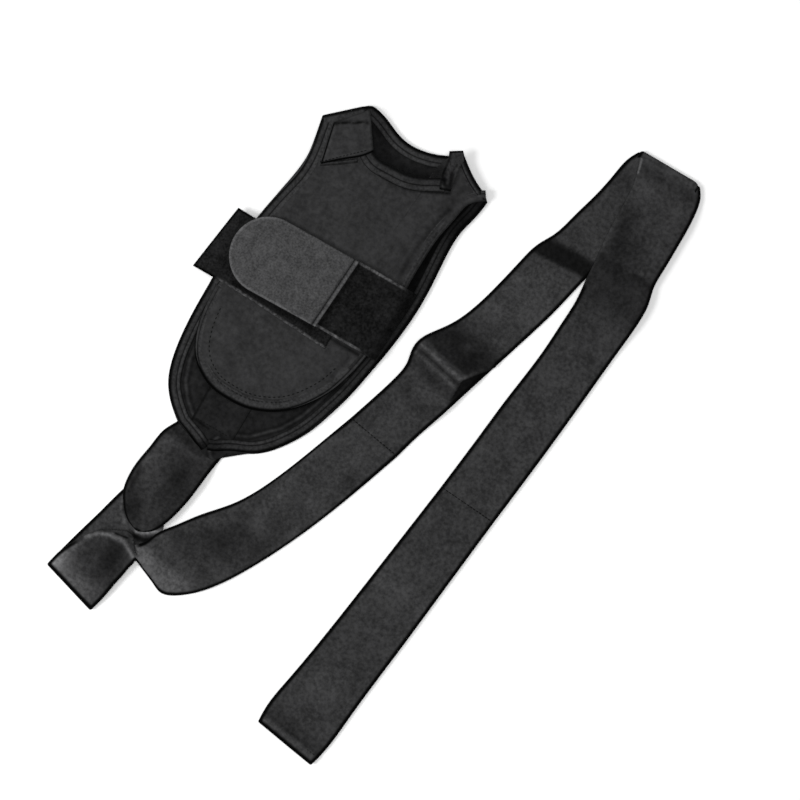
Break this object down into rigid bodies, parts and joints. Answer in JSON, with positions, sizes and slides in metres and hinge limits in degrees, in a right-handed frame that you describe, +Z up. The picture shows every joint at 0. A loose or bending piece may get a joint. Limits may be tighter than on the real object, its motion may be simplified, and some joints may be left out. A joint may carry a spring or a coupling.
{
  "type": "arm sling",
  "caption": "Padded upper-arm sleeve with a hook-and-loop cuff across it and a long flat strap that goes round the chest, lying flat with the strap folded.",
  "frame": {"origin": "on the flat underside of the back panel, near the middle of the sleeve", "axes": "+X across the sleeve towards the long strap, +Y along the sleeve towards the shoulder end, +Z up from the surface it lies on"},
  "size_m": [0.344, 0.5783, 0.0213],
  "materials": {
    "panel_cloth": "knitted, matte",
    "foam": "closed-cell foam, hidden",
    "lining": "brushed, matte",
    "binding": "woven tape, low sheen",
    "thread": "polyester thread",
    "loop_pile": "fuzzy loop pile",
    "cuff_cloth": "brushed, matte",
    "grey_felt": "felt, matte",
    "hook_tape": "moulded hooks",
    "strap_webbing": "soft flat webbing, low sheen"
  },
  "bodies": {
    "sleeve": {"back_outer_cloth": "panel_cloth", "back_foam": "foam", "back_lining": "lining", "front_lining": "lining", "front_foam": "foam", "front_outer_cloth": "panel_cloth", "side_binding": "binding", "shoulder_binding": "binding", "back_edge_binding": "binding", "back_armhole_binding": "binding", "front_armhole_binding": "binding", "front_edge_binding": "binding", "shoulder_patch": "panel_cloth", "shoulder_patch_thread": "thread", "binding_tape_end": "binding", "armhole_bar_tack": "thread", "loop_strap": "loop_pile", "cuff_anchor": "cuff_cloth", "strap_root_length": "strap_webbing", "strap_middle_lower": "strap_webbing", "strap_lower_seam_thread": "thread", "strap_anchor_patch": "binding", "strap_anchor_thread": "thread"},
    "cuff_band": {"cuff_band": "cuff_cloth"},
    "hook_tab": {"hook_tab": "grey_felt", "hook_patch": "hook_tape", "tab_seam_thread": "thread"},
    "loop_tail": {"loop_strap_tail": "loop_pile"},
    "strap_leg": {"strap_middle_upper": "strap_webbing", "strap_end_length": "strap_webbing", "strap_end_hem": "strap_webbing", "strap_hook_patch": "hook_tape", "strap_upper_seam_thread": "thread", "strap_hem_thread": "thread"}
  },
  "joints": [
    {"name": "cuff_band_lift", "type": "hinge", "parent": "sleeve", "child": "cuff_band", "pos_m": [0.066, 0, 0.01493], "axis": [0, 1, 0], "range_deg": [0, 75]},
    {"name": "hook_tab_peel", "type": "hinge", "parent": "cuff_band", "child": "hook_tab", "pos_m": [0.014, 0, 0.02084], "axis": [0, 1, 0], "range_deg": [0, 120]},
    {"name": "loop_tail_lift", "type": "hinge", "parent": "sleeve", "child": "loop_tail", "pos_m": [-0.087, 0, 0.0094], "axis": [0, 1, 0], "range_deg": [0, 80]},
    {"name": "strap_unfold", "type": "hinge", "parent": "sleeve", "child": "strap_leg", "pos_m": [0.2, 0.2273, 0.00195], "axis": [-1, 0, 0], "range_deg": [0, 175]}
  ]
}
